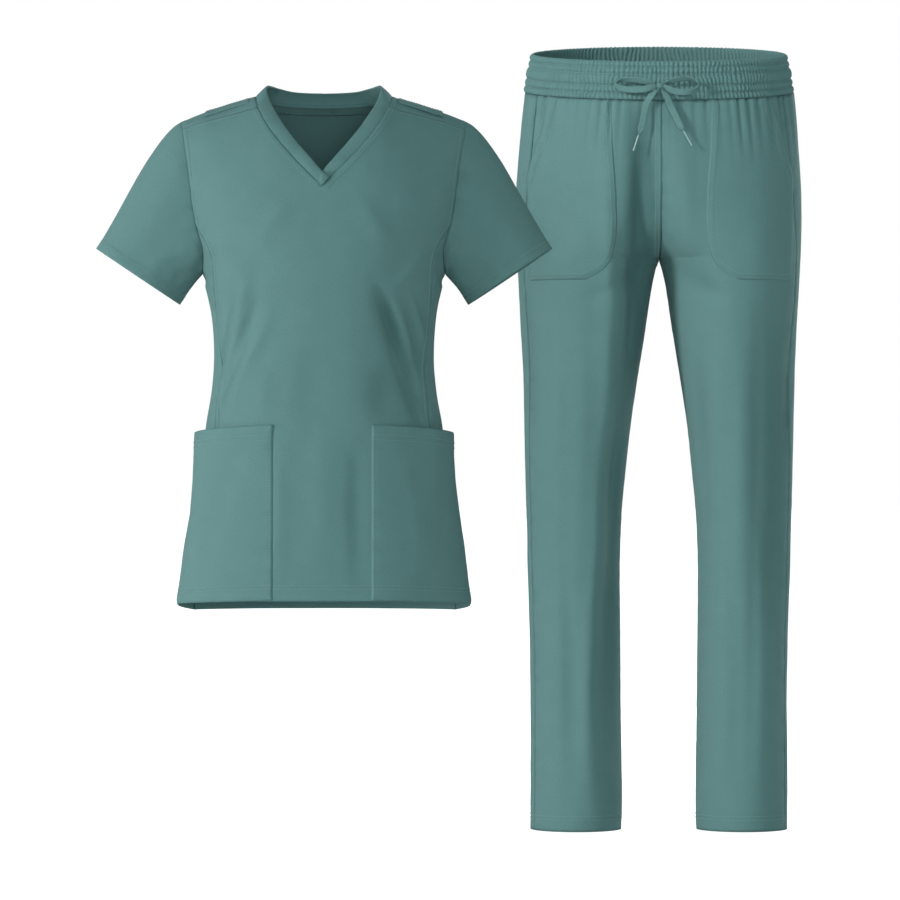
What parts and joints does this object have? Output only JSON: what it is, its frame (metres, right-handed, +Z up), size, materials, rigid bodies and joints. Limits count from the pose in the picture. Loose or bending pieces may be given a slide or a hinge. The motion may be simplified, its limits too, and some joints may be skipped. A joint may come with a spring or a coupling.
{
  "type": "medical scrubs",
  "caption": "Hollow V-neck short-sleeved scrub top with hem pockets, beside elastic-waist drawstring trousers with patch pockets, both filled out as worn.",
  "frame": {"origin": "middle of the top's shoulder line, where the wearer's shoulders hold it up", "axes": "+Z up, -Y towards the front of both garments, +X towards the trousers"},
  "size_m": [0.8843, 0.402, 0.9977],
  "materials": {
    "scrub_cloth": "fine stretch weave, matt with a soft sheen",
    "drawstring": "flat woven cord, matt",
    "cord_tip": "smooth, satin"
  },
  "bodies": {
    "root": {"top_front": "scrub_cloth", "top_back": "scrub_cloth", "side_panel_left": "scrub_cloth", "side_panel_right": "scrub_cloth", "sleeve_left": "scrub_cloth", "sleeve_right": "scrub_cloth", "neckband": "scrub_cloth", "neck_tape": "scrub_cloth", "shoulder_loop_left": "scrub_cloth", "shoulder_loop_right": "scrub_cloth", "top_pocket_left": "scrub_cloth", "top_pocket_right": "scrub_cloth", "leg_front_left": "scrub_cloth", "leg_front_right": "scrub_cloth", "leg_back_left": "scrub_cloth", "leg_back_right": "scrub_cloth", "trouser_pocket_left": "scrub_cloth", "trouser_pocket_right": "scrub_cloth", "waistband": "scrub_cloth", "drawstring_knot": "drawstring", "drawstring_loop_left": "drawstring", "drawstring_loop_right": "drawstring", "drawstring_tail_left": "drawstring", "drawstring_tail_right": "drawstring", "tip_left": "cord_tip", "tip_right": "cord_tip"}
  },
  "joints": []
}
